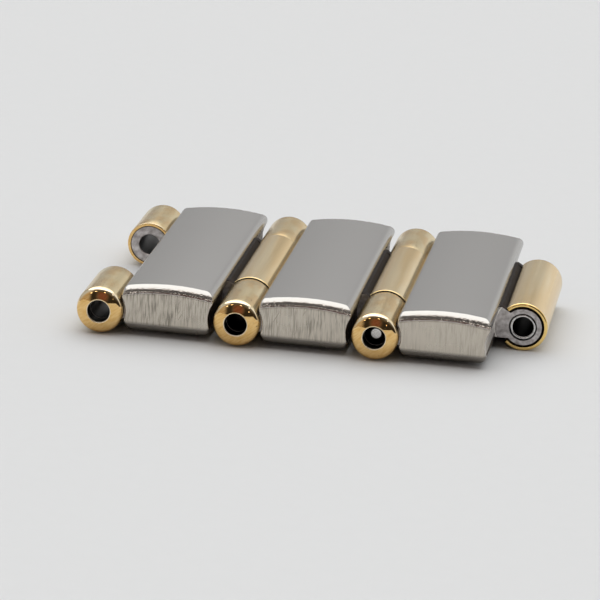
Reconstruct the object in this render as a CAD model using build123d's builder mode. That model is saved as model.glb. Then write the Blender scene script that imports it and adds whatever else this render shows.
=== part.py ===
"""Three-link section of a two-tone watch bracelet: crowned steel links joined by gold barrels.

X runs along the bracelet, Y along the hinge axes and Z up, in millimetres. The origin is under the middle
of the section, on the surface that the barrels rest on.
"""
import math
import os

from build123d import *

# Bracelet section
link_count = 3
hinge_pitch = 7.0
bracelet_width = 16.0
barrel_radius = 1.25
side_play = 0.04

# Steel link: crowned block
block_side_step = 0.38
block_front_overhang = 0.15
block_bottom_drop = 1.05
crown_radius = 11.8
crown_rise = 1.49
crown_place = 3.5
barrel_clearance = 0.04
fold_clearance = 0.28
top_edge_rounding = 0.5
bottom_edge_rounding = 0.6
front_corner_rounding = 0.3
rear_corner_rounding = 0.45
bottom_corner_rounding = 0.45

# Steel link: end lugs, centre knuckle and their necks
lug_neck_gap = 0.12
lug_mouth_chamfer = 0.04
knuckle_neck_top_gap = 0.055
knuckle_neck_bottom_gap = 0.095
knuckle_neck_flare = 0.28
knuckle_edge_chamfer = 0.09
knuckle_mouth_chamfer = 0.08
neck_root_depth = 1.0

# Gold centre sleeve
sleeve_wall = 0.18
sleeve_slot_angle = 90
sleeve_edge_rounding = 0.05

# Gold end caps
cap_radius = 1.2
cap_wall = 0.18
cap_length = 4.0
cap_end_thickness = 0.65
cap_hole_chamfer = 0.06
cap_dome_radius = 3.0
cap_edge_rounding = 0.2
cap_slot_angle = 70

# Steel tube in the centre knuckle
tube_wall = 0.14
tube_edge_chamfer = 0.03

# Hinge pins
pin_radius = 0.5
pin_clearance = 0.05
pin_recess = 0.8
pin_tip_rounding = 0.23
pin_grip_length = 2.0
pin_grip_swell = 0.02
first_pin_shift = 0.6

# Sizes that follow
near = -1
far = 1
axis_height = barrel_radius
section_middle = (link_count * hinge_pitch + barrel_radius - cap_radius) / 2
lug_radius = cap_radius - cap_wall
running_bore_radius = pin_radius + pin_clearance
knuckle_radius = barrel_radius - sleeve_wall
tube_bore_radius = pin_radius + pin_grip_swell
knuckle_bore_radius = tube_bore_radius + tube_wall
front_groove_radius = barrel_radius + barrel_clearance
rear_groove_radius = cap_radius + fold_clearance
block_front_gap = barrel_radius - block_front_overhang
block_width = bracelet_width - 2 * block_side_step
block_height = crown_rise + block_bottom_drop
lug_face_y = bracelet_width / 2 - cap_end_thickness
lug_length = cap_length - cap_end_thickness
centre_length = bracelet_width - 2 * cap_length - 2 * side_play
pin_length = bracelet_width - 2 * pin_recess

# Half heights of the slots in the gold, where they meet the steel, and of the necks that pass through them
cap_slot_half = lug_radius * math.sin(math.radians(cap_slot_angle / 2))
sleeve_slot_half = knuckle_radius * math.sin(math.radians(sleeve_slot_angle / 2))
lug_neck_half = cap_slot_half - lug_neck_gap
knuckle_neck_rise = sleeve_slot_half - knuckle_neck_top_gap
knuckle_neck_drop = sleeve_slot_half - knuckle_neck_bottom_gap
knuckle_root_rise = knuckle_neck_rise + knuckle_neck_flare

os.makedirs("parts", exist_ok=True)


def hinge_x(number):
    """Place of a hinge along the bracelet, the foremost hinge being number 0."""
    return number * hinge_pitch - section_middle


def across(number, y=0):
    """Plane square to a hinge axis, its origin on the axis, its own X along the bracelet and Y up."""
    return Plane(origin=(hinge_x(number), y, axis_height), x_dir=(1, 0, 0), z_dir=(0, -1, 0))


def along(number):
    """Level plane through a hinge axis, its own X away from the axis and Y along it."""
    return Plane(origin=(hinge_x(number), 0, axis_height), x_dir=(1, 0, 0), z_dir=(0, 0, 1))


def hinge_axis(number):
    """Line of a hinge."""
    return Axis((hinge_x(number), 0, axis_height), (0, 1, 0))


def slot_corners(direction, radius, angle):
    """Outline of the wedge that opens a barrel lengthwise towards its own block."""
    spread = radius * math.tan(math.radians(angle / 2))
    return [(0, 0), (direction * radius, spread), (direction * radius, -spread)]


def bore_outline(radius, end_y, mouth_chamfer):
    """Half section of a bore along a hinge axis, widened at both mouths."""
    mouth_radius = radius + mouth_chamfer
    throat_y = end_y - mouth_chamfer
    return [
        (0, -end_y),
        (mouth_radius, -end_y),
        (radius, -throat_y),
        (radius, throat_y),
        (mouth_radius, end_y),
        (0, end_y),
    ]


def make_steel_body(number):
    """One steel link: a crowned block with two end lugs in front and a centre knuckle behind."""
    front = number - 1
    rear = number
    with BuildPart() as body:
        # Block section, hollowed in front and behind to clear the barrels
        with BuildSketch(across(front)) as section:
            with Locations((0, -block_bottom_drop)):
                Rectangle(hinge_pitch, block_height, align=(Align.MIN, Align.MIN))
            with Locations((crown_place, crown_rise - crown_radius)):
                Circle(crown_radius, mode=Mode.INTERSECT)
            Rectangle(block_front_gap, crown_rise, align=(Align.MIN, Align.MIN), mode=Mode.SUBTRACT)
            Circle(front_groove_radius, mode=Mode.SUBTRACT)
            with Locations((hinge_pitch, 0)):
                Circle(rear_groove_radius, mode=Mode.SUBTRACT)
            corners = section.vertices()
            front_corners = corners.filter_by_position(Axis.X, 0, hinge_pitch / 2).sort_by(Axis.Y)
            rear_corners = corners.filter_by_position(Axis.X, hinge_pitch / 2, hinge_pitch).sort_by(Axis.Y)
            fillet([front_corners[0], rear_corners[0]], bottom_corner_rounding)
            fillet(front_corners[-1], front_corner_rounding)
            fillet(rear_corners[-1], rear_corner_rounding)
        extrude(amount=block_width / 2, both=True)

        # Side edges, rounded straight along the bottom and over the crown along the top
        with BuildSketch(Plane.YZ.offset(hinge_x(front))) as bottom_edges:
            with Locations((0, axis_height - block_bottom_drop)):
                Rectangle(block_width, 2 * block_height, align=(Align.CENTER, Align.MIN))
            fillet(bottom_edges.vertices().group_by(Axis.Y)[0], bottom_edge_rounding)
        extrude(amount=hinge_pitch, mode=Mode.INTERSECT)
        with BuildSketch(Plane.YZ.offset(hinge_x(front) + crown_place)) as top_edges:
            with Locations((0, axis_height + crown_rise)):
                Rectangle(block_width, crown_radius, align=(Align.CENTER, Align.MAX))
            fillet(top_edges.vertices().group_by(Axis.Y)[-1], top_edge_rounding)
        crown_centre = (hinge_x(front) + crown_place, 0, axis_height + crown_rise - crown_radius)
        revolve(axis=Axis(crown_centre, (0, 1, 0)), mode=Mode.INTERSECT)

        # End lugs on straight necks, bored in line
        lug_neck_length = front_groove_radius + neck_root_depth
        for side in (near, far):
            with BuildSketch(across(front, side * lug_face_y)):
                Circle(lug_radius)
                Rectangle(lug_neck_length, 2 * lug_neck_half, align=(Align.MIN, Align.CENTER))
            extrude(amount=side * lug_length)
        with BuildSketch(along(front)):
            with BuildLine():
                Polyline(*bore_outline(running_bore_radius, lug_face_y, lug_mouth_chamfer), close=True)
            make_face()
        revolve(axis=hinge_axis(front), mode=Mode.SUBTRACT)

        # Centre knuckle with chamfered ends
        with BuildSketch(along(rear)) as ring:
            Rectangle(knuckle_radius, centre_length, align=(Align.MIN, Align.CENTER))
            chamfer(ring.vertices().group_by(Axis.X)[-1], knuckle_edge_chamfer)
        revolve(axis=hinge_axis(rear))

        # Its neck, flat below and rising above towards the top corner of the block
        ring_x = math.sqrt(knuckle_radius**2 - knuckle_neck_rise**2)
        root_x = math.sqrt(rear_groove_radius**2 - knuckle_root_rise**2)
        foot_x = rear_groove_radius + neck_root_depth
        with BuildSketch(across(rear)):
            with BuildLine():
                Polyline(
                    (0, -knuckle_neck_drop),
                    (0, knuckle_neck_rise),
                    (-ring_x, knuckle_neck_rise),
                    (-root_x, knuckle_root_rise),
                    (-foot_x, knuckle_root_rise),
                    (-foot_x, -knuckle_neck_drop),
                    close=True,
                )
            make_face()
        extrude(amount=centre_length / 2, both=True)

        # Bore for the tube
        bore_end_y = centre_length / 2
        with BuildSketch(along(rear)):
            with BuildLine():
                Polyline(*bore_outline(knuckle_bore_radius, bore_end_y, knuckle_mouth_chamfer), close=True)
            make_face()
        revolve(axis=hinge_axis(rear), mode=Mode.SUBTRACT)
    body.part.label = f"link_{number}_steel_body"
    export_step(body.part, f"parts/{body.part.label}.step")


def make_centre_sleeve(number):
    """Gold sleeve wrapped round the centre knuckle, open along the neck."""
    with BuildPart() as sleeve:
        with BuildSketch(along(number)) as wall:
            with Locations((knuckle_radius, 0)):
                Rectangle(sleeve_wall, centre_length, align=(Align.MIN, Align.CENTER))
            fillet(wall.vertices().group_by(Axis.X)[-1], sleeve_edge_rounding)
        revolve(axis=hinge_axis(number))
        with BuildSketch(across(number)):
            with BuildLine():
                Polyline(*slot_corners(-1, barrel_radius, sleeve_slot_angle), close=True)
            make_face()
        extrude(amount=centre_length / 2, both=True, mode=Mode.SUBTRACT)
    sleeve.part.label = f"link_{number}_centre_sleeve"
    export_step(sleeve.part, f"parts/{sleeve.part.label}.step")


def make_end_cap(number, side, side_name):
    """Gold cap over an end lug: domed and holed at its outer end, open along the neck behind that."""
    front = number - 1
    face_y = side * bracelet_width / 2
    floor_y = side * lug_face_y
    rim_radius = running_bore_radius + cap_hole_chamfer
    dome_y = face_y - side * math.sqrt(cap_dome_radius**2 - rim_radius**2)
    with BuildPart() as cap:
        with BuildSketch(along(front)) as wall:
            with Locations((0, face_y - side * cap_length / 2)):
                Rectangle(cap_radius, cap_length, align=(Align.MIN, Align.CENTER))
            with Locations((0, dome_y)):
                Circle(cap_dome_radius, mode=Mode.INTERSECT)
            with Locations((0, floor_y - side * lug_length / 2)):
                Rectangle(lug_radius, lug_length, align=(Align.MIN, Align.CENTER), mode=Mode.SUBTRACT)
            with Locations((0, face_y)):
                hole = (running_bore_radius, 2 * cap_length)
                Rectangle(*hole, align=(Align.MIN, Align.CENTER), mode=Mode.SUBTRACT)
            fillet(wall.vertices().sort_by_distance((cap_radius, face_y))[0], cap_edge_rounding)
            chamfer(wall.vertices().sort_by_distance((running_bore_radius, face_y))[0], cap_hole_chamfer)
        revolve(axis=hinge_axis(front))
        with BuildSketch(across(front, floor_y)):
            with BuildLine():
                Polyline(*slot_corners(1, cap_radius, cap_slot_angle), close=True)
            make_face()
        extrude(amount=side * lug_length, mode=Mode.SUBTRACT)
    cap.part.label = f"link_{number}_{side_name}_end_cap"
    export_step(cap.part, f"parts/{cap.part.label}.step")


def make_pin_tube(number):
    """Steel tube held in the bore of the centre knuckle, which grips the hinge pin."""
    with BuildPart() as tube:
        with BuildSketch(along(number)) as wall:
            with Locations((tube_bore_radius, 0)):
                Rectangle(tube_wall, centre_length, align=(Align.MIN, Align.CENTER))
            chamfer(wall.vertices(), tube_edge_chamfer)
        revolve(axis=hinge_axis(number))
    tube.part.label = f"link_{number}_pin_tube"
    export_step(tube.part, f"parts/{tube.part.label}.step")


def make_hinge_pin(number):
    """Steel pin through a link's tube and the end lugs of the next link, thicker where it is gripped."""
    shift = first_pin_shift if number == 1 else 0
    with BuildPart() as pin:
        with BuildSketch(along(number)) as half_pin:
            with Locations((0, shift)):
                Rectangle(pin_radius, pin_length, align=(Align.MIN, Align.CENTER))
            fillet(half_pin.vertices().group_by(Axis.X)[-1], pin_tip_rounding)
            with Locations((0, shift)):
                Rectangle(tube_bore_radius, pin_grip_length, align=(Align.MIN, Align.CENTER))
        revolve(axis=hinge_axis(number))
    pin.part.label = f"hinge_pin_{number}"
    export_step(pin.part, f"parts/{pin.part.label}.step")


for link in range(1, link_count + 1):
    make_steel_body(link)
    make_centre_sleeve(link)
    make_end_cap(link, near, "near")
    make_end_cap(link, far, "far")
    make_pin_tube(link)

for joined_hinge in range(1, link_count):
    make_hinge_pin(joined_hinge)
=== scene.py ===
"""Three-link section of a two-tone watch bracelet: crowned brushed steel links joined by gold barrels.

The sections follow the bracelet as it is put together. Sizes are millimetres, in each link's own place: u
runs along the bracelet from a hinge, y along the hinges and w up from the hinge's height. Meshes become
metres when they are made into pieces.
"""
import math

import bmesh
import bpy
from mathutils import Euler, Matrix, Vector


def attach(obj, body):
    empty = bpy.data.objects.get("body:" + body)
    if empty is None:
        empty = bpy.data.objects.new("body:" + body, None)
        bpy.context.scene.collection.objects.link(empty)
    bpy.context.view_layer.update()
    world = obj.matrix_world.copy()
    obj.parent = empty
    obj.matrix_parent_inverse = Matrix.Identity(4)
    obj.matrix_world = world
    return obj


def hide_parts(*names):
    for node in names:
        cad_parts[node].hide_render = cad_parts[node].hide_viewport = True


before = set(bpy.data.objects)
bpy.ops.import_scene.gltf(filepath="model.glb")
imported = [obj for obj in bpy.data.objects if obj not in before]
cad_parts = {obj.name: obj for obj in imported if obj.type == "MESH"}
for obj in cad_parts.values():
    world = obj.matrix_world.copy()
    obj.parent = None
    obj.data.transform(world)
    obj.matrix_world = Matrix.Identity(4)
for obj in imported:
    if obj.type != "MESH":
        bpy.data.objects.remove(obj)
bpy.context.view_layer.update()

# Camera
# A long macro lens, low over the near side of the bracelet and a little to its right, as in the photograph.
# It is placed in millimetres and turned in degrees.
metres_per_mm = 0.001
camera_place = (23.487, -158.409, 52.022)
camera_turn = (72.0936, -2.6055, 9.8340)
camera_lens = 193.62

camera = bpy.data.objects.new("camera", bpy.data.cameras.new("camera"))
camera.location = Vector(camera_place) * metres_per_mm
camera.rotation_euler = Euler([math.radians(angle) for angle in camera_turn], "XYZ")
camera.data.lens = camera_lens
camera.data.sensor_width = 36.0
camera.data.clip_start = 0.005
camera.data.clip_end = 20.0
camera.data.dof.use_dof = False
bpy.context.scene.collection.objects.link(camera)
bpy.context.scene.camera = camera

# Steel bodies
# Each link begins as one solid of stainless steel, milled from bar: a crowned block, two bored lugs in front
# and a bored knuckle behind. Its top is satin brushed along the bracelet and its sides upwards, and its long
# edges are buffed bright.

# The section, and the margin in the tests that tell where a face lies
link_count = 3
hinge_pitch = 7.0
hinge_height = 1.25
section_middle = 10.525
barrel_steps = 144
sharp_edge_angle = 34
margin = 0.01

# The block, and the counts of steps that its outline is drawn with
block_half_width = 7.62
block_bottom = -1.05
block_wall = 1.1
crown_centre = (3.5, -10.31)
crown_radius = 11.8
front_groove_radius = 1.29
rear_groove_radius = 1.48
top_edge_rounding = 0.5
bottom_edge_rounding = 0.6
groove_edge_rounding = 0.045
front_corner_rounding = 0.3
rear_corner_rounding = 0.45
bottom_corner_rounding = 0.45
wall_foot_rounding = 0.04
front_corner_shrink = 0.4
bottom_corner_shrink = 0.65
crown_steps = 48
groove_steps = 24
corner_steps = 10
front_corner_steps = 12
bottom_steps = 12
wall_steps = 3
edge_steps = 12
inner_places = [-5.4, -3.6, -1.8, 0.0, 1.8, 3.6, 5.4]

# The lugs and their necks
lug_radius = 1.02
lug_neck_half = 0.465
lug_outer_y = 7.35
lug_inner_y = 4.0
lug_edge_rounding = 0.04
lug_bore_radius = 0.55
lug_mouth_chamfer = 0.04

# The knuckle, whose ends are relieved under the sleeve, and its neck
knuckle_half_length = 3.96
knuckle_radius = 1.07
knuckle_relief = 0.1
knuckle_relief_depth = 0.4
knuckle_relief_step = 0.02
knuckle_edge_rounding = 0.03
knuckle_bore_radius = 0.66
knuckle_mouth_radius = 0.715
knuckle_mouth_depth = 0.22
knuckle_mouth_step = 0.03
neck_rise = 0.702
neck_drop = 0.662
neck_root_rise = 0.982
neck_depth = 1.0
neck_steps = 72
crevice_reach = 1.25
open_groove_foot = -0.4


def hinge_x(number):
    """Place of a hinge along the bracelet, the foremost hinge being number 0."""
    return number * hinge_pitch - section_middle


def bearing(centre, point):
    """Direction from a centre to a point, in radians."""
    return math.atan2(point[1] - centre[1], point[0] - centre[0])


def arc(centre, start, end, steps, long_way=False):
    """Points of the arc about a centre from one point to another."""
    first = bearing(centre, start)
    turn = (bearing(centre, end) - first + math.pi) % math.tau - math.pi
    if long_way:
        turn -= math.copysign(math.tau, turn)
    radius = math.dist(centre, start)
    angles = [first + turn * step / steps for step in range(steps + 1)]
    return [(centre[0] + radius * math.cos(a), centre[1] + radius * math.sin(a)) for a in angles]


def line(start, end, steps):
    """Points between two points, without the two themselves."""
    shares = [step / steps for step in range(1, steps)]
    return [(start[0] + (end[0] - start[0]) * s, start[1] + (end[1] - start[1]) * s) for s in shares]


def toward(centre, point, distance):
    """The point at a distance from a centre on the way to another point."""
    share = distance / math.dist(centre, point)
    return (centre[0] + (point[0] - centre[0]) * share, centre[1] + (point[1] - centre[1]) * share)


def crossings(centre, radius, other, other_radius):
    """The two points where two circles cross or touch, the foremost first."""
    gap = math.dist(centre, other)
    along = (radius**2 - other_radius**2 + gap**2) / (2 * gap)
    height = math.sqrt(max(0.0, radius**2 - along**2))
    across = ((other[0] - centre[0]) / gap, (other[1] - centre[1]) / gap)
    foot = (centre[0] + across[0] * along, centre[1] + across[1] * along)
    return sorted((foot[0] - across[1] * h, foot[1] + across[0] * h) for h in (height, -height))


def block_outline(top_inset, bottom_inset, groove_inset):
    """Section of the block across the hinges, drawn in from its full size."""
    front = (0.0, 0.0)
    rear = (hinge_pitch, 0.0)
    crown = crown_radius - top_inset
    front_groove = front_groove_radius + groove_inset
    rear_groove = rear_groove_radius + groove_inset
    wall = block_wall + groove_inset
    bottom = block_bottom + bottom_inset
    front_round = front_corner_rounding - front_corner_shrink * top_inset
    rear_round = rear_corner_rounding - groove_inset
    bottom_round = bottom_corner_rounding - bottom_corner_shrink * bottom_inset

    reach = math.sqrt((crown - front_round) ** 2 - (wall + front_round - crown_centre[0]) ** 2)
    front_corner = (wall + front_round, crown_centre[1] + reach)
    rear_reach = rear_groove_radius + rear_corner_rounding
    rear_corner = crossings(crown_centre, crown_radius - rear_corner_rounding, rear, rear_reach)[0]
    foot_w = bottom + bottom_round
    rear_foot = (rear[0] - math.sqrt((rear_groove + bottom_round) ** 2 - foot_w**2), foot_w)
    front_foot = (math.sqrt((front_groove + bottom_round) ** 2 - foot_w**2), foot_w)
    foot_u = wall + wall_foot_rounding
    wall_foot = (foot_u, math.sqrt((front_groove + wall_foot_rounding) ** 2 - foot_u**2))

    crown_front = toward(crown_centre, front_corner, crown)
    crown_rear = crossings(crown_centre, crown, rear_corner, rear_round)[1]
    groove_top = toward(rear, rear_corner, rear_groove)
    groove_bottom = toward(rear, rear_foot, rear_groove)
    front_bottom = toward(front, front_foot, front_groove)
    front_top = toward(front, wall_foot, front_groove)
    points = arc(crown_centre, crown_front, crown_rear, crown_steps)
    points += arc(rear_corner, crown_rear, groove_top, corner_steps)[1:]
    points += arc(rear, groove_top, groove_bottom, groove_steps)[1:]
    points += arc(rear_foot, groove_bottom, (rear_foot[0], bottom), corner_steps)[1:]
    points += line(points[-1], (front_foot[0], bottom), bottom_steps)
    points += arc(front_foot, (front_foot[0], bottom), front_bottom, corner_steps)
    points += arc(front, front_bottom, front_top, groove_steps)[1:]
    points += arc(wall_foot, front_top, (wall, wall_foot[1]), corner_steps // 2)[1:]
    points += line(points[-1], (wall, front_corner[1]), wall_steps)
    points += arc(front_corner, (wall, front_corner[1]), crown_front, front_corner_steps)[:-1]
    return points


def quarter_inset(rounding, depth):
    """How far a rounded edge is drawn in at a depth from the face that it starts from."""
    if depth >= rounding:
        return 0.0
    return rounding - math.sqrt(rounding**2 - (rounding - depth) ** 2)


def loft(rings):
    """Closed solid through rings of points that have the same count."""
    count = len(rings[0])
    points = [point for ring in rings for point in ring]
    faces = [tuple(range(count)), tuple(range(len(points) - count, len(points)))]
    for ring in range(len(rings) - 1):
        for step in range(count):
            a = ring * count + step
            b = ring * count + (step + 1) % count
            faces.append((a, b, b + count, a + count))
    return points, faces


def prism(stations):
    """Closed solid whose outline changes along y. The stations are pairs of y and outline."""
    return loft([[(u, y, w) for u, w in outline] for y, outline in stations])


def turned(profile, closed=True):
    """Solid turned about a hinge, from radius and y pairs. An open profile begins and ends on the axis."""
    points = []
    rows = []
    for radius, y in profile:
        count = 1 if radius == 0 else barrel_steps
        rows.append([len(points) + step % count for step in range(barrel_steps)])
        for step in range(count):
            angle = math.tau * step / barrel_steps
            points.append((radius * math.cos(angle), y, radius * math.sin(angle)))
    faces = []
    pairs = list(zip(rows, rows[1:])) + ([(rows[-1], rows[0])] if closed else [])
    for row, following in pairs:
        for step in range(barrel_steps):
            nxt = (step + 1) % barrel_steps
            corners = (row[step], row[nxt], following[nxt], following[step])
            faces.append(tuple(dict.fromkeys(corners)))
    return points, faces


def bore(first_y, last_y, mouth):
    """Cutter for a bore, from radius and depth pairs that describe it from each mouth inwards."""
    overshoot = 0.5
    near_half = [(0, first_y - overshoot), (mouth[0][0], first_y - overshoot)]
    near_half += [(radius, first_y + depth) for radius, depth in mouth[1:]]
    far_half = [(radius, last_y + first_y - y) for radius, y in reversed(near_half)]
    return turned(near_half + far_half, closed=False)


def mesh_of(shape):
    """Mesh of points and faces, its faces turned outwards."""
    points, faces = shape
    mesh = bpy.data.meshes.new("shape")
    mesh.from_pydata(points, [], faces)
    mesh.validate()
    work = bmesh.new()
    work.from_mesh(mesh)
    bmesh.ops.recalc_face_normals(work, faces=work.faces)
    work.to_mesh(mesh)
    work.free()
    return mesh


def linked_object(name, mesh):
    """Object with a mesh, in the scene."""
    item = bpy.data.objects.new(name, mesh)
    bpy.context.scene.collection.objects.link(item)
    return item


def shaped_mesh(item, tools=()):
    """Mesh of an object after its modifiers. The object and its tools are removed."""
    view = bpy.context.evaluated_depsgraph_get()
    result = bpy.data.meshes.new_from_object(item.evaluated_get(view))
    for leftover in (*tools, item):
        bpy.data.objects.remove(leftover)
    return result


def combined(mesh, steps):
    """Mesh after other shapes are joined to it or cut from it, given as pairs of operation and shape."""
    body = linked_object("body", mesh)
    tools = []
    for operation, shape in steps:
        tool = linked_object("tool", mesh_of(shape))
        tools.append(tool)
        change = body.modifiers.new("change", "BOOLEAN")
        change.operation = operation
        change.solver = "EXACT"
        change.object = tool
    return shaped_mesh(body, tools)


def make_piece(name, mesh, hinge, finishes, link, node):
    """Piece from a mesh in millimetres about a hinge. It moves with its link and stands for a CAD node.

    The finishes are pairs of material and test. A face takes the first whose test it passes.
    """
    mesh = mesh.copy()
    mesh.name = name
    mesh.materials.clear()
    for material, test in finishes:
        mesh.materials.append(material)
    tests = [test for material, test in finishes]
    for face in mesh.polygons:
        face.material_index = next(k for k, test in enumerate(tests) if test is None or test(face))
    for vertex in mesh.vertices:
        vertex.co += Vector((hinge_x(hinge), 0, hinge_height))
        vertex.co *= metres_per_mm
    mesh.shade_smooth()
    mesh.set_sharp_from_angle(angle=math.radians(sharp_edge_angle))
    piece = linked_object(name, mesh)
    normals = piece.modifiers.new("normals", "WEIGHTED_NORMAL")
    normals.keep_sharp = True
    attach(piece, f"link_{link}")
    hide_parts(node)


def hinge_distance(face, hinge=0):
    """Distance of a face from one of the two hinges of its link, its own being number 0."""
    return math.hypot(face.center.x - hinge * hinge_pitch, face.center.z)


def is_bore_wall(radius, hinge=0):
    """Test for the faces that line a bore about a hinge."""
    return lambda face: hinge_distance(face, hinge) < radius and abs(face.normal.y) < 0.5


def linear(colour):
    """Linear colour of an sRGB hex value."""
    shares = [int(colour[k:k + 2], 16) / 255 for k in (1, 3, 5)]
    return tuple(s / 12.92 if s <= 0.04045 else ((s + 0.055) / 1.055) ** 2.4 for s in shares) + (1.0,)


def per_mm(*sizes):
    """Scale of a pattern from the real sizes of its grains along x, y and z."""
    return [1 / (size * metres_per_mm) for size in sizes]


def grain_sizes(*sizes):
    """Sizes of a pattern's grains for a mapping that is turned before it is scaled."""
    return [size * metres_per_mm for size in sizes]


def add_node(tree, kind, inputs=(), **settings):
    """Add a node with its settings. Its inputs, in order or by name, are values, sockets or other nodes."""
    node = tree.nodes.new("ShaderNode" + kind)
    for name, value in settings.items():
        setattr(node, name, value)
    sockets = [socket for socket in node.inputs if socket.enabled]
    named_inputs = inputs.items() if isinstance(inputs, dict) else enumerate(inputs)
    for name, value in named_inputs:
        socket = sockets[name] if isinstance(name, int) else next(s for s in sockets if s.name == name)
        if isinstance(value, bpy.types.Node):
            value = next(result for result in value.outputs if result.enabled)
        if isinstance(value, bpy.types.NodeSocket):
            tree.links.new(value, socket)
        else:
            socket.default_value = value
    return node


def new_material(name):
    """Empty material of metal, its node tree, its surface shader and the node that gives places on it."""
    material = bpy.data.materials.new(name)
    material.use_nodes = True
    tree = material.node_tree
    tree.nodes.clear()
    shader = add_node(tree, "BsdfPrincipled", {"Metallic": 1.0})
    add_node(tree, "OutputMaterial", {"Surface": shader})
    return material, tree, shader, add_node(tree, "TexCoord")


def finish_material(tree, shader, colour, roughness, height, depth):
    """Link a metal's colour and roughness, and its relief with the depth in millimetres."""
    tree.links.new(colour.outputs[2], shader.inputs["Base Color"])
    tree.links.new(roughness.outputs[0], shader.inputs["Roughness"])
    relief = add_node(tree, "Bump", {"Height": height, "Strength": 1.0, "Distance": depth * metres_per_mm})
    tree.links.new(relief.outputs["Normal"], shader.inputs["Normal"])


def brushed_steel():
    """Block finish: stainless steel, satin brushed on its top and sides and buffed bright on its edges."""
    material, tree, shader, place = new_material("stainless_steel_satin_brushed")
    here = place.outputs["Object"]
    facing = add_node(tree, "SeparateXYZ", [place.outputs["Normal"]])
    sideways = add_node(tree, "Math", [facing.outputs["Y"]], operation="ABSOLUTE")

    # Brush lines are some hundredths of a millimetre wide; drawn 0.06 mm wide on the sides, and 0.16 mm wide
    # on the top, where they are faint. The buffed edges keep a grain, drawn 0.09 mm wide
    patterns = []
    for sizes, detail in (
        ((0.06, 1.0, 0.75), 3.0),
        ((8.0, 0.16, 8.0), 1.0),
        ((0.6, 3.0, 0.9), 1.0),
        ((0.12, 0.09, 0.09), 1.0),
        ((2.4, 3.0, 2.4), 2.0),
    ):
        pattern_place = add_node(tree, "Mapping", {"Vector": here, "Scale": per_mm(*sizes)})
        pattern = add_node(tree, "TexNoise", {"Vector": pattern_place, "Scale": 1.0, "Detail": detail})
        patterns.append(pattern)
    side_lines, top_lines, patches, grains, clouds = patterns

    # The satin sides and top, with the buffed edges between them, where the brushing ends unevenly
    uneven = add_node(tree, "Math", [side_lines, 0.02, sideways], operation="MULTIPLY_ADD")
    side = add_node(tree, "MapRange", {"Value": uneven, "From Min": 0.969, "From Max": 0.996},
                    interpolation_type="SMOOTHSTEP")
    top = add_node(tree, "MapRange", {"Value": sideways, "From Min": 0.12, "From Max": 0.04},
                   interpolation_type="SMOOTHSTEP")
    satin = add_node(tree, "Math", [side, top], operation="ADD")

    # Darker strokes in the side brushing, in patches, and a few short scratches of wear across them
    strokes = add_node(tree, "MapRange", {"Value": side_lines, "From Min": 0.43, "From Max": 0.66})
    stroke_patch = add_node(tree, "MapRange",
                            {"Value": patches, "From Min": 0.32, "From Max": 0.62, "To Min": 0.25})
    strokes = add_node(tree, "Math", [strokes, stroke_patch], operation="MULTIPLY")
    scratch_place = add_node(tree, "Mapping",
                             {"Vector": here, "Rotation": (0.0, 0.5, 0.0),
                              "Scale": grain_sizes(0.05, 1.0, 0.7)}, vector_type="TEXTURE")
    scratches = add_node(tree, "TexNoise", {"Vector": scratch_place, "Scale": 1.0, "Detail": 0.0})
    scratches = add_node(tree, "MapRange", {"Value": scratches, "From Min": 0.8, "From Max": 0.86})
    marks = add_node(tree, "Math", [strokes, scratches], operation="MAXIMUM")
    marks = add_node(tree, "Math", [marks, side], operation="MULTIPLY")

    # The rear link of the section is the least worn of the three
    along = add_node(tree, "SeparateXYZ", [here])
    wear = add_node(tree, "MapRange",
                    {"Value": along.outputs["X"], "From Min": 2.8 * metres_per_mm,
                     "From Max": 4.2 * metres_per_mm, "To Min": 1.0, "To Max": 0.4})
    marks = add_node(tree, "Math", [marks, wear], operation="MULTIPLY")
    ground = add_node(tree, "Mix", [side, linear("#C2BFBA"), linear("#CAC2B5")], data_type="RGBA")
    top_tone = add_node(tree, "Mix", [top_lines, linear("#B1AFAC"), linear("#B6B4B1")], data_type="RGBA")
    ground = add_node(tree, "Mix", [top, ground, top_tone], data_type="RGBA")
    # The underside is duller and is painted darker, a painted shade under the block
    under = add_node(tree, "MapRange", {"Value": facing.outputs["Z"], "From Min": -0.03, "From Max": -0.3})
    ground = add_node(tree, "Mix", [under, ground, linear("#8C8780")], data_type="RGBA")
    colour = add_node(tree, "Mix", [marks, ground, linear("#8F897E")], data_type="RGBA")

    # The top shines evenly, the sides a little less evenly, and the buffed edges most
    rubbed = add_node(tree, "MapRange",
                      {"Value": clouds, "From Min": 0.3, "From Max": 0.7, "To Min": 0.24, "To Max": 0.3})
    rubbed = add_node(tree, "Mix", [top, rubbed, 0.27])
    dull = add_node(tree, "Math", [satin, under], operation="MAXIMUM")
    roughness = add_node(tree, "Mix", [dull, 0.19, rubbed])
    side_height = add_node(tree, "Math", [side_lines, side], operation="MULTIPLY")
    edge_share = add_node(tree, "Math", [satin, -12.0, 12.0], operation="MULTIPLY_ADD")
    edge_height = add_node(tree, "Math", [grains, edge_share], operation="MULTIPLY")
    height = add_node(tree, "Math", [side_height, edge_height], operation="ADD")
    finish_material(tree, shader, colour, roughness, height, 0.0011)
    return material


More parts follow.
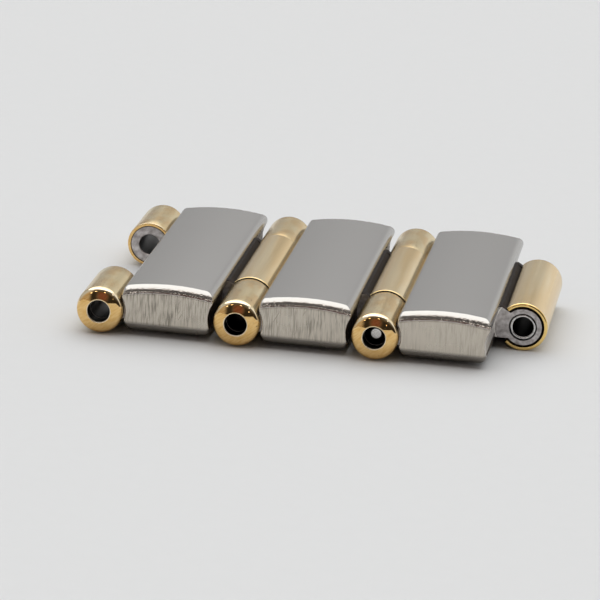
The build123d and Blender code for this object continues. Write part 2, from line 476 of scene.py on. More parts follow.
def milled_steel(name, dust_and_shade):
    """Groove, neck, lug and knuckle finish: dull milled steel, dusty and painted darker as shade, with clean
    ends.
    """
    material, tree, shader, place = new_material(name)
    here = place.outputs["Object"]

    # Dust lies in spots of 0.2 mm. The cutter's marks are drawn 0.06 mm wide, coarser than they are
    spot_place = add_node(tree, "Mapping", {"Vector": here, "Scale": per_mm(0.22, 0.22, 0.22)})
    spots = add_node(tree, "TexNoise", {"Vector": spot_place, "Scale": 1.0, "Detail": 3.0})
    mark_place = add_node(tree, "Mapping",
                          {"Vector": here, "Rotation": (0.0, 0.7, 0.0),
                           "Scale": grain_sizes(0.06, 0.3, 0.5)}, vector_type="TEXTURE")
    marks = add_node(tree, "TexNoise", {"Vector": mark_place, "Scale": 1.0, "Detail": 2.0})
    worn = add_node(tree, "MapRange", {"Value": spots, "From Min": 0.35, "From Max": 0.68})
    facing = add_node(tree, "SeparateXYZ", [place.outputs["Normal"]])
    sideways = add_node(tree, "Math", [facing.outputs["Y"]], operation="ABSOLUTE")
    faced = add_node(tree, "MapRange",
                     {"Value": sideways, "From Min": 0.8, "From Max": 0.98, "To Min": 1.0 - dust_and_shade})

    # The cutter of the groove left a burr where it met the ends of the neck, painted near white as a
    # highlight
    burr_radius = rear_groove_radius - 0.02
    burr_reach = 0.05
    burr_core = 0.02
    last_hinge = (-hinge_x(link_count) * metres_per_mm, 0.0, -hinge_height * metres_per_mm)
    knuckle_place = add_node(tree, "Mapping",
                             {"Vector": here, "Location": last_hinge, "Scale": (1.0, 0.0, 1.0)})
    knuckle_distance = add_node(tree, "VectorMath", [knuckle_place], operation="LENGTH")
    from_cut = add_node(tree, "Math", [knuckle_distance, burr_radius * metres_per_mm], operation="SUBTRACT")
    from_cut = add_node(tree, "Math", [from_cut], operation="ABSOLUTE")
    burr_highlight = add_node(tree, "MapRange",
                    {"Value": from_cut, "From Min": burr_reach * metres_per_mm,
                     "From Max": burr_core * metres_per_mm})
    burr_highlight = add_node(tree, "Math", [burr_highlight, faced], operation="MULTIPLY")
    clean = add_node(tree, "Mix", [worn, linear("#D2CECD"), linear("#A8A2A0")], data_type="RGBA")
    # Faces other than the ends take a darker tone, partly dust and partly painted shade in the grooves and
    # crevices
    dust_and_shade_tone = add_node(tree, "Mix", [worn, linear("#6F6763"), linear("#4A4440")], data_type="RGBA")
    colour = add_node(tree, "Mix", [faced, dust_and_shade_tone, clean], data_type="RGBA")
    colour = add_node(tree, "Mix", [burr_highlight, colour, linear("#F4F1EC")], data_type="RGBA")
    roughness = add_node(tree, "MapRange",
                         {"Value": spots, "From Min": 0.3, "From Max": 0.7, "To Min": 0.34, "To Max": 0.5})
    height = add_node(tree, "Math", [spots, marks], operation="ADD")
    finish_material(tree, shader, colour, roughness, height, 0.004)
    return material


def shade_painted_steel(name, sizes, detail, tones, shine, depth):
    """Steel painted dark as shade, with two tones that vary at random, and its least and most roughness."""
    material, tree, shader, place = new_material(name)
    shade_noise_place = add_node(tree, "Mapping", {"Vector": place.outputs["Object"], "Scale": per_mm(*sizes)})
    shade_noise = add_node(tree, "TexNoise", {"Vector": shade_noise_place, "Scale": 1.0, "Detail": detail})
    share = add_node(tree, "MapRange", {"Value": shade_noise, "From Min": 0.35, "From Max": 0.7})
    colour = add_node(tree, "Mix", [share, linear(tones[0]), linear(tones[1])], data_type="RGBA")
    roughness = add_node(tree, "MapRange",
                         {"Value": shade_noise, "From Min": 0.3, "From Max": 0.7, "To Min": shine[0],
                          "To Max": shine[1]})
    finish_material(tree, shader, colour, roughness, shade_noise, depth)
    return material, shader


def lug_outline(inset):
    """Section of a lug and its neck."""
    radius = lug_radius - inset
    half = lug_neck_half - inset
    start = (math.sqrt(radius**2 - half**2), half)
    foot = front_groove_radius + neck_depth
    ring = arc((0, 0), start, (start[0], -half), neck_steps, long_way=True)
    return ring + [(foot, -half), (foot, half)]


def knuckle_outline(ring_inset, edge_inset):
    """Section of the knuckle and its neck, in the place of the rear hinge."""
    radius = knuckle_radius - ring_inset
    rise = neck_rise - edge_inset
    drop = neck_drop - edge_inset
    root_rise = neck_root_rise - edge_inset
    upper = (-math.sqrt(radius**2 - rise**2), rise)
    lower = (-math.sqrt(radius**2 - drop**2), -drop)
    root = (-math.sqrt(rear_groove_radius**2 - root_rise**2), root_rise)
    foot = -(rear_groove_radius + neck_depth)
    ring = arc((0, 0), upper, lower, neck_steps, long_way=True)
    outline = ring + [(foot, -drop), (foot, root_rise), root]
    return [(hinge_pitch + u, w) for u, w in outline]


edge_angles = [math.radians(90 / edge_steps * step) for step in range(edge_steps + 1)]
edge_depths = [bottom_edge_rounding * (1 - math.cos(angle)) for angle in edge_angles]
block_stations = []
for depth in edge_depths:
    roundings = (top_edge_rounding, bottom_edge_rounding, groove_edge_rounding)
    insets = [quarter_inset(rounding, depth) for rounding in roundings]
    block_stations.append((depth - block_half_width, block_outline(*insets)))
full_outline = block_stations[-1][1]
block_stations += [(y, full_outline) for y in inner_places]
block_stations += [(-y, outline) for y, outline in reversed(block_stations[:len(edge_depths)])]

edge_shares = (0.0, 0.2, 0.5, 1.0)
lug_shapes = []
for side in (-1, 1):
    stations = []
    for share in edge_shares:
        outline = lug_outline(quarter_inset(lug_edge_rounding, share * lug_edge_rounding))
        stations.append((side * (lug_inner_y + share * lug_edge_rounding), outline))
    stations += [(side * (lug_inner_y + lug_outer_y) - y, outline) for y, outline in reversed(stations)]
    lug_shapes.append(prism(stations))

knuckle_stations = []
for share in edge_shares:
    inset = quarter_inset(knuckle_edge_rounding, share * knuckle_edge_rounding)
    knuckle_stations.append((share * knuckle_edge_rounding, knuckle_outline(knuckle_relief + inset, inset)))
knuckle_stations.append((knuckle_relief_depth, knuckle_outline(knuckle_relief, 0.0)))
knuckle_stations.append((knuckle_relief_depth + knuckle_relief_step, knuckle_outline(0.0, 0.0)))
knuckle_stations = [(depth - knuckle_half_length, outline) for depth, outline in knuckle_stations]
knuckle_stations += [(-y, outline) for y, outline in reversed(knuckle_stations)]

lug_mouth_radius = lug_bore_radius + lug_mouth_chamfer
lug_mouth = [(lug_mouth_radius, 0.0), (lug_mouth_radius, 0.0), (lug_bore_radius, lug_mouth_chamfer)]
knuckle_mouth = [
    (knuckle_mouth_radius, 0.0),
    (knuckle_mouth_radius, knuckle_mouth_depth),
    (knuckle_bore_radius, knuckle_mouth_depth + knuckle_mouth_step),
]
knuckle_bore = bore(-knuckle_half_length, knuckle_half_length, knuckle_mouth)
knuckle_bore = ([(u + hinge_pitch, y, w) for u, y, w in knuckle_bore[0]], knuckle_bore[1])
body_mesh = combined(
    mesh_of(prism(block_stations)),
    [
        ("UNION", lug_shapes[0]),
        ("UNION", lug_shapes[1]),
        ("UNION", prism(knuckle_stations)),
        ("DIFFERENCE", bore(-lug_outer_y, -lug_inner_y, lug_mouth)),
        ("DIFFERENCE", bore(lug_inner_y, lug_outer_y, lug_mouth)),
        ("DIFFERENCE", knuckle_bore),
    ],
)

# Inside of the holes: drilled metal painted nearly black as the shade in the holes, with faint rings, drawn
# 0.07 mm wide
bore_painted_shade, shader = shade_painted_steel("drilled_metal_painted_dark_as_shade", (2.0, 0.07, 2.0), 2.0,
                                 ("#1C1917", "#37322E"), (0.28, 0.42), 0.003)

# Crevices: milled steel painted matt and almost black as the shade in the crevices, so no bare metal shows
crevice_painted_shade, shader = shade_painted_steel("steel_painted_dark_as_crevice_shade", (0.15, 0.3, 0.15), 3.0,
                                    ("#1A1411", "#2E251E"), (0.55, 0.75), 0.004)
shader.inputs["Metallic"].default_value = 0.0
shader.inputs["Specular IOR Level"].default_value = 0.15
milled = milled_steel("stainless_steel_as_milled", 1.0)
milled_less_dust_and_shade = milled_steel("stainless_steel_milled_less_dust_and_shade", 0.15)
brushed = brushed_steel()


def is_milled(face):
    """Test for the faces of the lugs, the knuckle, their necks and the two grooves."""
    in_front_groove = hinge_distance(face) < front_groove_radius + margin
    return in_front_groove or hinge_distance(face, 1) < rear_groove_radius + margin


def is_neck_top(face):
    """Test for the upper faces of the knuckle's neck, which lie in the crevice behind the block."""
    behind = face.center.x > hinge_pitch - crevice_reach and abs(face.center.y) < knuckle_half_length
    return behind and neck_rise - 0.05 < face.center.z < neck_root_rise + margin and face.normal.z > 0.3


def is_relief(face):
    """Test for the relieved ends of the knuckle, just inside the sleeve, and the step behind them."""
    depth = knuckle_half_length - abs(face.center.y)
    relieved = knuckle_radius - knuckle_relief - margin < hinge_distance(face, 1) < knuckle_radius + margin
    return relieved and 0.005 < depth < knuckle_relief_depth + 0.05


def is_lug_mouth(face):
    """Test for the chamfers round the lugs' bores, which are bare."""
    at_mouth = lug_bore_radius + margin < hinge_distance(face) < lug_mouth_radius - 0.005
    return at_mouth and 0.4 < abs(face.normal.y) < 0.95


def is_open_groove(face):
    """Test for the upper part of the rear groove beside the knuckle."""
    in_groove = hinge_distance(face, 1) < rear_groove_radius + margin
    return in_groove and abs(face.center.y) > knuckle_half_length and face.center.z > open_groove_foot


# The neck tops, the knuckle's reliefs and the bore walls are painted dark as shade; the other milled faces
# partly so
body_finishes = [
    (crevice_painted_shade, is_neck_top),
    (crevice_painted_shade, is_relief),
    (milled_less_dust_and_shade, is_lug_mouth),
    (bore_painted_shade, is_bore_wall(lug_bore_radius + margin)),
    (bore_painted_shade, is_bore_wall(knuckle_mouth_radius + margin, 1)),
    (milled, is_milled),
    (brushed, None),
]
# On the last link the upper rear groove is open and gets little of that painted shade
last_body_finishes = [(milled_less_dust_and_shade, is_open_groove)] + body_finishes
for link in range(1, link_count + 1):
    finishes = last_body_finishes if link == link_count else body_finishes
    make_piece(f"steel_body_{link}", body_mesh, link - 1, finishes, link,
               f"link_{link}_steel_body")

# Pin tubes
# A short tube of drawn stainless steel is pressed into the bore of each knuckle, where its spring grips the
# hinge pin. Its cut ends are tumbled, so they are bright and softly rounded.
tube_outer_radius = 0.658
tube_inner_radius = 0.52
tube_edge_rounding = 0.06


def rounded(corners, steps=5):
    """Closed outline from corners with their roundings, as triples of two places and a radius."""
    points = []
    for number, (a, b, radius) in enumerate(corners):
        here = Vector((a, b))
        before = (Vector(corners[number - 1][:2]) - here).normalized()
        after = (Vector(corners[(number + 1) % len(corners)][:2]) - here).normalized()
        if radius == 0:
            points.append((a, b))
            continue
        half = math.acos(max(-1.0, min(1.0, before.dot(after)))) / 2
        centre = here + (before + after).normalized() * (radius / math.sin(half))
        start = here + before * (radius / math.tan(half))
        end = here + after * (radius / math.tan(half))
        points += arc(tuple(centre), tuple(start), tuple(end), steps)
    return points


def drawn_steel():
    """Drawn and tumbled stainless steel tube: bright, with faint lines along it and small specks of wear."""
    material, tree, shader, place = new_material("stainless_steel_drawn")
    here = place.outputs["Object"]

    # Lines from the die, drawn 0.06 mm wide, coarser than they are, and specks of 0.12 mm
    line_place = add_node(tree, "Mapping", {"Vector": here, "Scale": per_mm(0.06, 2.5, 0.06)})
    lines = add_node(tree, "TexNoise", {"Vector": line_place, "Scale": 1.0, "Detail": 2.0})
    speck_place = add_node(tree, "Mapping", {"Vector": here, "Scale": per_mm(0.12, 0.12, 0.12)})
    specks = add_node(tree, "TexNoise", {"Vector": speck_place, "Scale": 1.0, "Detail": 2.0})
    worn = add_node(tree, "MapRange", {"Value": specks, "From Min": 0.45, "From Max": 0.75})
    colour = add_node(tree, "Mix", [worn, linear("#D6D5D3"), linear("#A19D9B")], data_type="RGBA")
    roughness = add_node(tree, "MapRange",
                         {"Value": specks, "From Min": 0.3, "From Max": 0.7, "To Min": 0.12,
                          "To Max": 0.22})
    finish_material(tree, shader, colour, roughness, lines, 0.001)
    return material


tube_profile = rounded([
    (tube_inner_radius, -knuckle_half_length, tube_edge_rounding),
    (tube_outer_radius, -knuckle_half_length, tube_edge_rounding),
    (tube_outer_radius, knuckle_half_length, tube_edge_rounding),
    (tube_inner_radius, knuckle_half_length, tube_edge_rounding),
])
tube_mesh = mesh_of(turned(tube_profile))
# The tube's bore is painted dark as shade
tube_finishes = [(bore_painted_shade, is_bore_wall(tube_inner_radius + margin / 2)), (drawn_steel(), None)]
for link in range(1, link_count + 1):
    make_piece(f"pin_tube_{link}", tube_mesh, link, tube_finishes, link,
               f"link_{link}_pin_tube")

# Centre sleeves
# A strip of gold alloy is rolled into a sleeve round each knuckle, open along the neck. It is satin finished
# lengthwise and its cut ends are bright.
sleeve_radius = 1.25
sleeve_inner_radius = 1.072
sleeve_half_slot = 45.0
sleeve_outer_rounding = 0.1
sleeve_inner_rounding = 0.02
sleeve_slot_rounding = 0.035
slot_shares = (0.0, 0.3, 0.6, 1.0)
sleeve_steps = 108


def sleeve_profile(inset):
    """Section through the wall of the sleeve."""
    low = sleeve_inner_radius + inset
    high = sleeve_radius - inset
    end = knuckle_half_length - inset
    plain = end - 2 * sleeve_outer_rounding
    return rounded([
        (low, -end, sleeve_inner_rounding),
        (high, -end, sleeve_outer_rounding),
        (high, -plain, 0),
        (high, plain, 0),
        (high, end, sleeve_outer_rounding),
        (low, end, sleeve_inner_rounding),
    ])


def satin_gold():
    """Gold alloy, satin finished lengthwise: pale champagne on its round, deeper on its bright cut ends."""
    material, tree, shader, place = new_material("gold_alloy_satin")
    here = place.outputs["Object"]
    facing = add_node(tree, "SeparateXYZ", [place.outputs["Normal"]])
    sideways = add_node(tree, "Math", [facing.outputs["Y"]], operation="ABSOLUTE")
    end = add_node(tree, "MapRange", {"Value": sideways, "From Min": 0.12, "From Max": 0.7},
                   interpolation_type="SMOOTHSTEP")

    # Satin lines along the sleeve, drawn 0.05 mm wide, coarser than they are, on a faintly uneven surface
    line_place = add_node(tree, "Mapping", {"Vector": here, "Scale": per_mm(0.05, 7.0, 0.05)})
    lines = add_node(tree, "TexNoise", {"Vector": line_place, "Scale": 1.0, "Detail": 2.0})
    cloud_place = add_node(tree, "Mapping", {"Vector": here, "Scale": per_mm(0.8, 9.0, 0.8)})
    clouds = add_node(tree, "TexNoise", {"Vector": cloud_place, "Scale": 1.0, "Detail": 2.0})
    tint = add_node(tree, "MapRange", {"Value": clouds, "From Min": 0.35, "From Max": 0.65},
                    interpolation_type="SMOOTHSTEP")
    satin = add_node(tree, "Mix", [tint, linear("#F2DDB3"), linear("#EED09A")], data_type="RGBA")
    colour = add_node(tree, "Mix", [end, satin, linear("#F0CE84")], data_type="RGBA")
    rubbed = add_node(tree, "MapRange",
                      {"Value": lines, "From Min": 0.3, "From Max": 0.7, "To Min": 0.17, "To Max": 0.24})
    roughness = add_node(tree, "Mix", [end, rubbed, 0.12])
    finish_material(tree, shader, colour, roughness, lines, 0.0005)
    return material


first_turn = math.radians(sleeve_half_slot - 180)
slot_insets = [sleeve_slot_rounding * quarter_inset(1.0, share) for share in slot_shares]
slot_angles = [sleeve_slot_rounding * share / sleeve_radius for share in slot_shares]
half_stations = [(first_turn + angle, inset) for angle, inset in zip(slot_angles, slot_insets)]
middle_start = half_stations[-1][0]
middle_turns = [middle_start * (1 - 2 * step / sleeve_steps) for step in range(1, sleeve_steps)]
stations = half_stations + [(turn, 0.0) for turn in middle_turns]
stations += [(-turn, inset) for turn, inset in reversed(half_stations)]
sleeve_rings = [
    [(radius * math.cos(turn), y, radius * math.sin(turn)) for radius, y in sleeve_profile(inset)]
    for turn, inset in stations
]
sleeve_mesh = mesh_of(loft(sleeve_rings))


def is_sleeve_end(face):
    """Test for the ends of a sleeve, which are painted dark as shade where a cap stands close to them."""
    return abs(face.center.y) > knuckle_half_length - sleeve_outer_rounding and abs(face.normal.y) > 0.5


sleeve_gold = satin_gold()
for link in range(1, link_count + 1):
    # On all but the last link the sleeve ends are painted dark as shade beside the caps
    finishes = [(crevice_painted_shade, is_sleeve_end)] if link < link_count else []
    finishes.append((sleeve_gold, None))
    make_piece(f"centre_sleeve_{link}", sleeve_mesh, link, finishes, link,
               f"link_{link}_centre_sleeve")

# End caps
# A cap of gold alloy is pressed over each lug, with a slot for the lug's neck. Its domed end is polished and
# has a hole, with a small chamfer, where the hinge pin goes in; its round is satin finished.
cap_radius = 1.2
cap_inner_radius = 1.022
cap_end_y = 8.0
cap_length = 4.0
cap_floor = 0.65
cap_dome_radius = 3.0
cap_rim_rounding = 0.3
cap_hole_radius = 0.57
cap_hole_chamfer = 0.05
cap_edge_rounding = 0.04
cap_slot_steps = 14
cap_slot_bevel = 0.025
cap_dome_steps = 16
cap_rim_steps = 12
cap_edge_steps = 4


def cap_shape(side):
    """Points, faces and slot edges of a cap. Its profile is radius and depth from the end of the barrel."""
    rim_radius = cap_hole_radius + cap_hole_chamfer
    dome_centre = (0.0, math.sqrt(cap_dome_radius**2 - rim_radius**2))
    rim_u = cap_radius - cap_rim_rounding
    rim_centre = (rim_u, dome_centre[1] - math.sqrt((cap_dome_radius - cap_rim_rounding) ** 2 - rim_u**2))
    dome_edge = toward(dome_centre, rim_centre, cap_dome_radius)
    end_part = [(cap_hole_radius, cap_floor), (cap_hole_radius, cap_floor / 2)]
    chamfer_centre = (cap_hole_radius + cap_hole_chamfer, cap_hole_chamfer)
    end_part += arc(chamfer_centre, (cap_hole_radius, cap_hole_chamfer), (rim_radius, 0.0), cap_edge_steps)
    end_part += arc(dome_centre, (rim_radius, 0.0), dome_edge, cap_dome_steps)[1:]
    end_part += arc(rim_centre, dome_edge, (cap_radius, rim_centre[1]), cap_rim_steps)[1:]
    end_part.append((cap_radius, cap_floor))
    wall_part = line((cap_radius, cap_floor), (cap_radius, cap_length), cap_edge_steps)
    edge_depth = cap_length - cap_edge_rounding
    outer_edge = (cap_radius - cap_edge_rounding, edge_depth)
    inner_edge = (cap_inner_radius + cap_edge_rounding, edge_depth)
    wall_part += arc(outer_edge, (cap_radius, edge_depth), (outer_edge[0], cap_length), cap_edge_steps)
    wall_part += arc(inner_edge, (inner_edge[0], cap_length), (cap_inner_radius, edge_depth), cap_edge_steps)
    wall_part.append((cap_inner_radius, cap_floor))
    profile = end_part + wall_part
    count = len(profile)
    outer = len(end_part) - 1
    inner = count - 1
    points = []
    for step in range(barrel_steps):
        angle = math.tau * step / barrel_steps
        for radius, depth in profile:
            points.append((radius * math.cos(angle), side * (cap_end_y - depth), radius * math.sin(angle)))
    faces = []
    for step in range(barrel_steps):
        here = step * count
        nxt = (step + 1) % barrel_steps * count
        slotted = step < cap_slot_steps or step >= barrel_steps - cap_slot_steps
        edges = [(k, k + 1) for k in range(outer)] + [(inner, 0)]
        edges += [(outer, inner)] if slotted else [(k, k + 1) for k in range(outer, inner)]
        faces += [(here + a, here + b, nxt + b, nxt + a) for a, b in edges]
    slot_edges = []
    for step in (cap_slot_steps, barrel_steps - cap_slot_steps):
        wall = [step * count + k for k in range(outer, count)]
        faces.append(tuple(wall))
        slot_edges += [frozenset(pair) for pair in zip(wall, wall[1:])]
    return (points, faces), slot_edges


def polished_gold():
    """Gold alloy cap: polished domed end, satin round, with fine scratches and a few tiny pits."""
    material, tree, shader, place = new_material("gold_alloy_polished_end")
    here = place.outputs["Object"]
    facing = add_node(tree, "SeparateXYZ", [place.outputs["Normal"]])
    sideways = add_node(tree, "Math", [facing.outputs["Y"]], operation="ABSOLUTE")
    end = add_node(tree, "MapRange", {"Value": sideways, "From Min": 0.1, "From Max": 0.6},
                   interpolation_type="SMOOTHSTEP")

    # Satin lines along the round, drawn 0.05 mm wide, and faint scratches across the end, drawn 0.06 mm wide,
    # both coarser than they are
    line_place = add_node(tree, "Mapping", {"Vector": here, "Scale": per_mm(0.05, 4.0, 0.05)})
    lines = add_node(tree, "TexNoise", {"Vector": line_place, "Scale": 1.0, "Detail": 2.0})
    mark_place = add_node(tree, "Mapping",
                          {"Vector": here, "Rotation": (0.0, 0.9, 0.0),
                           "Scale": grain_sizes(0.06, 0.6, 0.4)}, vector_type="TEXTURE")
    marks = add_node(tree, "TexNoise", {"Vector": mark_place, "Scale": 1.0, "Detail": 2.0})
    pit_place = add_node(tree, "Mapping", {"Vector": here, "Scale": per_mm(0.13, 0.2, 0.13)})
    pits = add_node(tree, "TexNoise", {"Vector": pit_place, "Scale": 1.0, "Detail": 1.0})
    pits = add_node(tree, "MapRange", {"Value": pits, "From Min": 0.73, "From Max": 0.79})
    cloud_place = add_node(tree, "Mapping", {"Vector": here, "Scale": per_mm(0.6, 1.6, 0.6)})
    clouds = add_node(tree, "TexNoise", {"Vector": cloud_place, "Scale": 1.0, "Detail": 2.0})
    tint = add_node(tree, "MapRange", {"Value": clouds, "From Min": 0.35, "From Max": 0.65},
                    interpolation_type="SMOOTHSTEP")
    satin = add_node(tree, "Mix", [tint, linear("#E2CFA4"), linear("#DCBE8A")], data_type="RGBA")
    handled = add_node(tree, "MapRange", {"Value": marks, "From Min": 0.4, "From Max": 0.7})
    polished = add_node(tree, "Mix", [handled, linear("#EEC98A"), linear("#DEB066")], data_type="RGBA")

    # The rounded rim is painted paler along its upper half, a painted highlight
    rim_highlight = add_node(tree, "MapRange", {"Value": sideways, "From Min": 0.9, "From Max": 0.75})
    upper = add_node(tree, "MapRange", {"Value": facing.outputs["Z"], "From Min": 0.1, "From Max": 0.5})
    rim_highlight = add_node(tree, "Math", [rim_highlight, upper], operation="MULTIPLY")
    polished = add_node(tree, "Mix", [rim_highlight, polished, linear("#FFF0CE")], data_type="RGBA")
    colour = add_node(tree, "Mix", [end, satin, polished], data_type="RGBA")
    colour = add_node(tree, "Mix", [pits, colour, linear("#6B5230")], data_type="RGBA")
    rubbed = add_node(tree, "MapRange",
                      {"Value": lines, "From Min": 0.3, "From Max": 0.7, "To Min": 0.19, "To Max": 0.27})
    polish = add_node(tree, "MapRange",
                      {"Value": marks, "From Min": 0.3, "From Max": 0.7, "To Min": 0.03, "To Max": 0.055})
    roughness = add_node(tree, "Mix", [end, rubbed, polish])
    line_share = add_node(tree, "MapRange", {"Value": end, "To Min": 1.0, "To Max": 0.12})
    height = add_node(tree, "Math", [lines, line_share], operation="MULTIPLY")
    finish_material(tree, shader, colour, roughness, height, 0.0004)
    return material


def cut_gold_with_highlight():
    """Cut edge round a cap's hole: paler than the worn gold, painted near white as a highlight, fine turning
    marks.
    """
    material, tree, shader, place = new_material("gold_alloy_cut_edge_painted_highlight")
    here = place.outputs["Object"]

    # Turning marks are about 0.01 mm wide; drawn 0.03 mm wide
    mark_place = add_node(tree, "Mapping", {"Vector": here, "Scale": per_mm(0.2, 0.03, 0.2)})
    marks = add_node(tree, "TexNoise", {"Vector": mark_place, "Scale": 1.0, "Detail": 2.0})
    colour = add_node(tree, "Mix", [marks, linear("#FFF6E2"), linear("#FBE7BF")], data_type="RGBA")
    roughness = add_node(tree, "MapRange",
                         {"Value": marks, "From Min": 0.3, "From Max": 0.7, "To Min": 0.25, "To Max": 0.4})
    finish_material(tree, shader, colour, roughness, marks, 0.0005)
    return material


def is_hole_chamfer(face):
    """Test for the chamfer round the hole in a cap's end."""
    in_depth = cap_end_y - abs(face.center.y) < cap_hole_chamfer
    return in_depth and hinge_distance(face) < cap_hole_radius + cap_hole_chamfer + 0.001


def cap_mesh(side):
    """Mesh of a cap, the edges of its slot eased with a small bevel."""
    shape, slot_edges = cap_shape(side)
    mesh = mesh_of(shape)
    weights = mesh.attributes.new("bevel_weight_edge", "FLOAT", "EDGE")
    for edge in mesh.edges:
        if frozenset(edge.vertices) in slot_edges:
            weights.data[edge.index].value = 1.0
    cap = linked_object("cap", mesh)
    bevel = cap.modifiers.new("bevel", "BEVEL")
    bevel.limit_method = "WEIGHT"
    bevel.width = cap_slot_bevel
    bevel.segments = 2
    return shaped_mesh(cap)


# The hole's chamfer is painted near white as a highlight and the hole's wall dark as shade
cap_finishes = [
    (cut_gold_with_highlight(), is_hole_chamfer),
    (bore_painted_shade, is_bore_wall(cap_hole_radius + margin)),
    (polished_gold(), None),
]
for side, side_name in ((-1, "near"), (1, "far")):
    mesh = cap_mesh(side)
    for link in range(1, link_count + 1):
        make_piece(f"{side_name}_cap_{link}", mesh, link - 1, cap_finishes, link,
                   f"link_{link}_{side_name}_end_cap")

# Hinge pins
# A turned steel pin goes through each knuckle's tube and the lugs of the next link, held by the tube's grip.
# Its tips are rounded and matt, and lie deeper than the ends of the caps.
pin_radius = 0.5
pin_half_length = 7.2
pin_tip_rounding = 0.25
pin_tip_flat = 0.12
pin_grip_half_length = 1.0
pin_grip_radius = 0.519
pin_grip_taper = 0.05
pin_tip_steps = 8
pin_shifts = {1: 0.6, 2: 0.0}


def pin_profile(shift):
    """Half section of a pin."""
    shoulder = (pin_radius - pin_tip_rounding, pin_half_length - pin_tip_rounding)
    tip = [(0.0, pin_half_length), (pin_tip_flat, pin_half_length)]
    tip += arc(shoulder, (shoulder[0], pin_half_length), (pin_radius, shoulder[1]), pin_tip_steps)
    grip = [
        (pin_radius, pin_grip_half_length + pin_grip_taper),
        (pin_grip_radius, pin_grip_half_length - pin_grip_taper),
    ]
    far_half = [(radius, y + shift) for radius, y in tip] + grip
    near_half = [(radius, -y) for radius, y in reversed(grip)]
    near_half += [(radius, shift - y) for radius, y in reversed(tip)]
    return far_half + near_half


def turned_steel():
    """Turned steel: matt and light on its faced tips, with fine rings round it."""
    material, tree, shader, place = new_material("steel_turned")
    here = place.outputs["Object"]

    # Turning rings are about 0.02 mm wide; drawn 0.05 mm wide, with specks of 0.06 mm
    ring_place = add_node(tree, "Mapping", {"Vector": here, "Scale": per_mm(2.0, 0.05, 2.0)})
    rings = add_node(tree, "TexNoise", {"Vector": ring_place, "Scale": 1.0, "Detail": 2.0})
    speck_place = add_node(tree, "Mapping", {"Vector": here, "Scale": per_mm(0.06, 0.06, 0.06)})
    specks = add_node(tree, "TexNoise", {"Vector": speck_place, "Scale": 1.0, "Detail": 2.0})
    worn = add_node(tree, "MapRange", {"Value": specks, "From Min": 0.4, "From Max": 0.7})
    colour = add_node(tree, "Mix", [worn, linear("#FAF8F5"), linear("#DCD8D3")], data_type="RGBA")
    roughness = add_node(tree, "MapRange",
                         {"Value": specks, "From Min": 0.3, "From Max": 0.7, "To Min": 0.36, "To Max": 0.5})
    height = add_node(tree, "Math", [rings, specks], operation="ADD")
    finish_material(tree, shader, colour, roughness, height, 0.002)
    return material


def is_shaded_pin_round(face):
    """Test for the faces round a pin, which are painted dark as shade like the holes."""
    return abs(face.normal.y) < 0.999


def is_near_tip(face):
    """Test for the near tip of the pin that sits deeper, which is painted dark as shade too."""
    return face.center.y < 0


pin_steel = turned_steel()
# The pin's round, and the near tip of the deeper pin, are painted dark as shade
pin_finishes = {
    1: [(bore_painted_shade, is_shaded_pin_round), (bore_painted_shade, is_near_tip), (pin_steel, None)],
    2: [(bore_painted_shade, is_shaded_pin_round), (pin_steel, None)],
}
for number, shift in pin_shifts.items():
    pin_mesh = mesh_of(turned(pin_profile(shift), closed=False))
    make_piece(f"pin_{number}", pin_mesh, number, pin_finishes[number], number,
               f"hinge_pin_{number}")

# Floor and light
# A sheet of pale grey card under a large soft light from above, in a room that is grey behind the bracelet
# and darker on the side of the camera.
floor_half = 1.5
floor_mesh = bpy.data.meshes.new("floor")
corners = [(floor_half * x, floor_half * y, 0) for x, y in ((-1, -1), (1, -1), (1, 1), (-1, 1))]
floor_mesh.from_pydata(corners, [], [(0, 1, 2, 3)])
linked_object("floor", floor_mesh)

# Uncoated card: matt and even, with faint fibres
card, tree, shader, place = new_material("pale_card")
shader.inputs["Metallic"].default_value = 0.0
shader.inputs["Roughness"].default_value = 0.8
shader.inputs["Specular IOR Level"].default_value = 0.2
here = place.outputs["Object"]
fibre_place = add_node(tree, "Mapping", {"Vector": here, "Scale": per_mm(0.8, 0.8, 0.8)})
fibres = add_node(tree, "TexNoise", {"Vector": fibre_place, "Scale": 1.0, "Detail": 3.0})
tone = add_node(tree, "Mix", [fibres, linear("#DFE1E2"), linear("#E1E3E4")], data_type="RGBA")
tree.links.new(tone.outputs[2], shader.inputs["Base Color"])
floor_mesh.materials.append(card)

# Strengths of the large soft light, the wall behind, its brighter right-hand part, the bright wall on the
# left, the room in front above and below eye level, the warm thing that stands there and its small lamps
softbox = 1.84
wall = 0.42
bright_wall = 0.8
left_wall = 0.5
dark_room = 0.125
darkest_room = 0.035
warm_thing = 0.2
lamp = 5.0

# Directions of the soft light, the warm thing and the lamps. The angles from them, in degrees, are where
# each begins and where it is full, which for a lamp is a share of its half width
softbox_place = ((-0.12, 0.36, 0.925), 44, 38)
warm_place = ((-0.09, -0.97, 0.21), 15, 2)
lamp_core = 0.7
lamps = [
    ((-0.344, -0.826, 0.454), 3.0),
    ((0.022, -0.868, 0.496), 3.0),
    ((-0.479, -0.832, 0.284), 2.2),
    ((0.583, -0.383, 0.715), 3.0),
    ((0.27, -0.95, 0.16), 0.8),
]

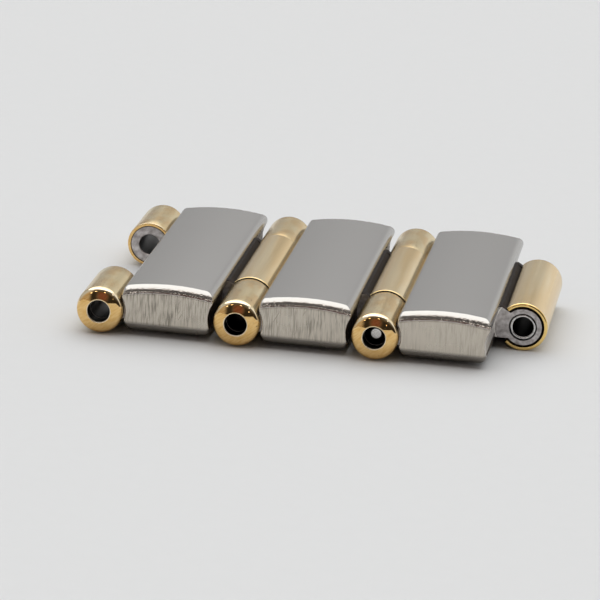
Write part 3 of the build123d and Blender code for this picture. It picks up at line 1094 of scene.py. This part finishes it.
world = bpy.data.worlds.new("studio")
bpy.context.scene.world = world
world.use_nodes = True
tree = world.node_tree
tree.nodes.clear()
direction = add_node(tree, "TexCoord").outputs["Generated"]
parts = add_node(tree, "SeparateXYZ", [direction])


def light_patch(middle, outer_angle, inner_angle, **settings):
    """How much of a patch of light about a direction shows, from none to all of it."""
    middle = Vector(middle).normalized()
    nearness = add_node(tree, "VectorMath", [direction, middle], operation="DOT_PRODUCT")
    begin = math.cos(math.radians(outer_angle))
    full = math.cos(math.radians(inner_angle))
    return add_node(tree, "MapRange",
                    {"Value": nearness.outputs["Value"], "From Min": begin, "From Max": full}, **settings)


softbox_share = light_patch(*softbox_place, interpolation_type="SMOOTHSTEP")
warm_share = light_patch(*warm_place, interpolation_type="SMOOTHSTEP")
walls = []
for axis, begin, full in (("X", 0.0, 0.35), ("Y", 0.0, -0.35), ("X", -0.42, -0.58)):
    share = add_node(tree, "MapRange", {"Value": parts.outputs[axis], "From Min": begin, "From Max": full},
                     interpolation_type="SMOOTHSTEP")
    walls.append(share)
right_share, front_share, left_share = walls
raised = add_node(tree, "MapRange", {"Value": parts.outputs["Z"], "From Min": 0.25, "From Max": 0.5})
behind = add_node(tree, "Mix", [right_share, wall, bright_wall])
front = add_node(tree, "Mix", [raised, darkest_room, dark_room])
front = add_node(tree, "Mix", [warm_share, front, warm_thing])
front = add_node(tree, "Mix", [left_share, front, left_wall])
level = add_node(tree, "Mix", [front_share, behind, front])
for lamp_direction, half_width in lamps:
    lamp_share = light_patch(lamp_direction, half_width, lamp_core * half_width)
    level = add_node(tree, "Mix", [lamp_share, level, lamp])
level = add_node(tree, "Mix", [softbox_share, level, softbox])
tint = add_node(tree, "Mix", [front_share, linear("#FFFFFF"), linear("#FFF4EC")], data_type="RGBA")
tint = add_node(tree, "Mix", [warm_share, tint.outputs[2], linear("#FFB4A4")], data_type="RGBA")
background = add_node(tree, "Background", {"Color": tint, "Strength": level})
add_node(tree, "OutputWorld", {"Surface": background})
bpy.context.scene.view_settings.view_transform = "Standard"
